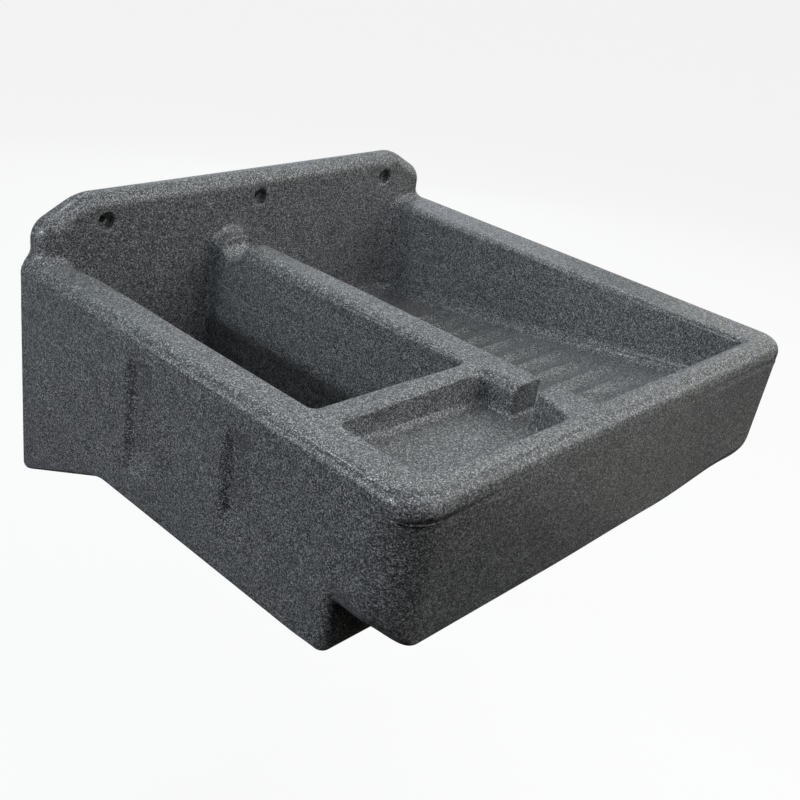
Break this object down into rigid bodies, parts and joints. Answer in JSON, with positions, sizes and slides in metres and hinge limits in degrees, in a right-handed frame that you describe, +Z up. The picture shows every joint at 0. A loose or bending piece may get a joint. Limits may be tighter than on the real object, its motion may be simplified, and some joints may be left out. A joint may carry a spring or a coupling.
{
  "type": "laundry sink",
  "caption": "Wall-hung plastic laundry sink: a deep tub beside a sloping washboard basin, a soap tray, an upstand with screw holes, and a screwed waste fitting under each basin.",
  "frame": {"origin": "axis of the middle wall screw hole where it meets the wall plane, which is the back face of the sink", "axes": "+Z up, +Y into the wall, +X to the right when facing the sink"},
  "size_m": [0.75, 0.707, 0.3965],
  "materials": {
    "speckled_plastic": "satin moulded plastic with fine light and dark stone speckle",
    "fitting_plastic": "smooth moulded white plastic",
    "nut_plastic": "moulded white plastic with grip lugs",
    "gasket_rubber": "matt black rubber",
    "slip_washer": "thin waxed fibre-like plastic",
    "plug_rubber": "smooth black rubber"
  },
  "bodies": {
    "sink": {"sink_body": "speckled_plastic", "tub_waste_body": "fitting_plastic", "tub_flange_gasket": "gasket_rubber", "tub_under_gasket": "gasket_rubber", "tub_friction_washer": "slip_washer", "tub_lock_nut": "nut_plastic", "tub_tail_washer": "gasket_rubber", "tub_tailpiece": "fitting_plastic", "tub_coupling_nut": "nut_plastic", "wash_waste_body": "fitting_plastic", "wash_flange_gasket": "gasket_rubber", "wash_under_gasket": "gasket_rubber", "wash_friction_washer": "slip_washer", "wash_lock_nut": "nut_plastic", "wash_tail_washer": "gasket_rubber", "wash_tailpiece": "fitting_plastic", "wash_coupling_nut": "nut_plastic"},
    "plug": {"tub_plug": "plug_rubber"}
  },
  "joints": [
    {"name": "plug_lift", "type": "slide", "parent": "sink", "child": "plug", "axis": [0, 0, 1], "range_m": [0, 0.3]}
  ]
}
